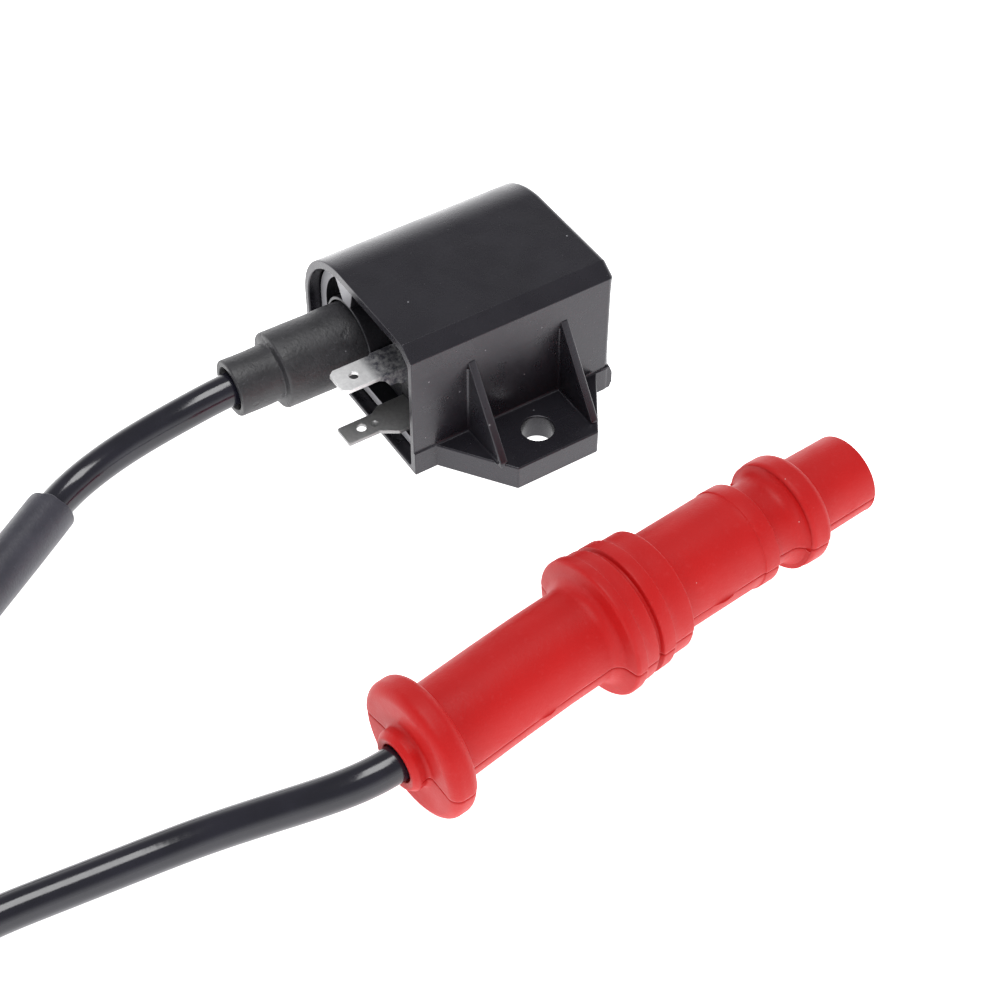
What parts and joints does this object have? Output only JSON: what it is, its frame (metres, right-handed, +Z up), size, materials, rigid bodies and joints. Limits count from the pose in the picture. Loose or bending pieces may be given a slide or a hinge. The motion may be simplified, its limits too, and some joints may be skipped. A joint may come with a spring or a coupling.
{
  "type": "ignition coil",
  "caption": "Potted ignition coil in a flanged plastic housing with tab terminals, a high-tension lead and a straight silicone spark plug cap.",
  "frame": {"origin": "on the mounting surface, at the centre of the footprint of the coil with its terminals and outlet boot, without the free lead and what is on it", "axes": "+Z up from the mounting face, -Y out of the open mouth along the outlet and the terminals, +X towards the terminal side"},
  "size_m": [0.1259, 0.2503, 0.0302],
  "materials": {
    "housing_nylon": "moulded, faint texture, semi-gloss",
    "carrier_nylon": "moulded, satin",
    "potting_resin": "cast resin, dark, slightly glossy",
    "core_steel": "stacked electrical sheet, cut edges",
    "bobbin_plastic": "natural glass-filled plastic",
    "copper_wire": "enamelled copper wire",
    "brass": "turned brass",
    "tinned_brass": "tin plated, satin with fine scratches",
    "black_rubber": "moulded rubber, dull",
    "lead_jacket": "smooth silicone or vinyl jacket, glossy black",
    "tie_nylon": "nylon, satin",
    "sleeve_vinyl": "loose vinyl sleeve, dull",
    "red_silicone": "moulded silicone, satin, bright red",
    "phenolic": "moulded phenolic resin",
    "ceramic": "unglazed ceramic",
    "spring_steel": "drawn spring wire"
  },
  "bodies": {
    "coil": {"housing": "housing_nylon", "coil_carrier": "carrier_nylon", "potting_resin": "potting_resin", "laminated_core": "core_steel", "primary_bobbin": "bobbin_plastic", "primary_winding": "copper_wire", "secondary_bobbin": "bobbin_plastic", "secondary_winding_1": "copper_wire", "secondary_winding_2": "copper_wire", "secondary_winding_3": "copper_wire", "secondary_winding_4": "copper_wire", "secondary_winding_5": "copper_wire", "secondary_winding_6": "copper_wire", "ht_contact": "brass", "ht_link_wire": "copper_wire", "primary_terminal": "tinned_brass", "ground_terminal": "tinned_brass", "lead_coil_side": "lead_jacket", "lead_turns": "lead_jacket", "lead_cap_side": "lead_jacket", "coil_tie": "tie_nylon"},
    "outlet_boot": {"outlet_boot": "black_rubber"},
    "sleeve": {"lead_sleeve": "sleeve_vinyl"},
    "plug_cap": {"cap_shell": "red_silicone", "cap_insulator": "phenolic", "cable_screw": "brass", "resistor": "ceramic", "contact_spring": "spring_steel", "plug_terminal": "brass", "terminal_clip": "spring_steel"}
  },
  "joints": [
    {"name": "boot_slide", "type": "slide", "parent": "coil", "child": "outlet_boot", "axis": [0, -1, 0], "range_m": [0, 0.004]},
    {"name": "sleeve_slide", "type": "slide", "parent": "coil", "child": "sleeve", "axis": [0.5505, -0.8348, 0], "range_m": [0, 0.007]},
    {"name": "cap_pull", "type": "slide", "parent": "coil", "child": "plug_cap", "axis": [-0.1031, 0.9947, 0], "range_m": [0, 0.02]}
  ]
}
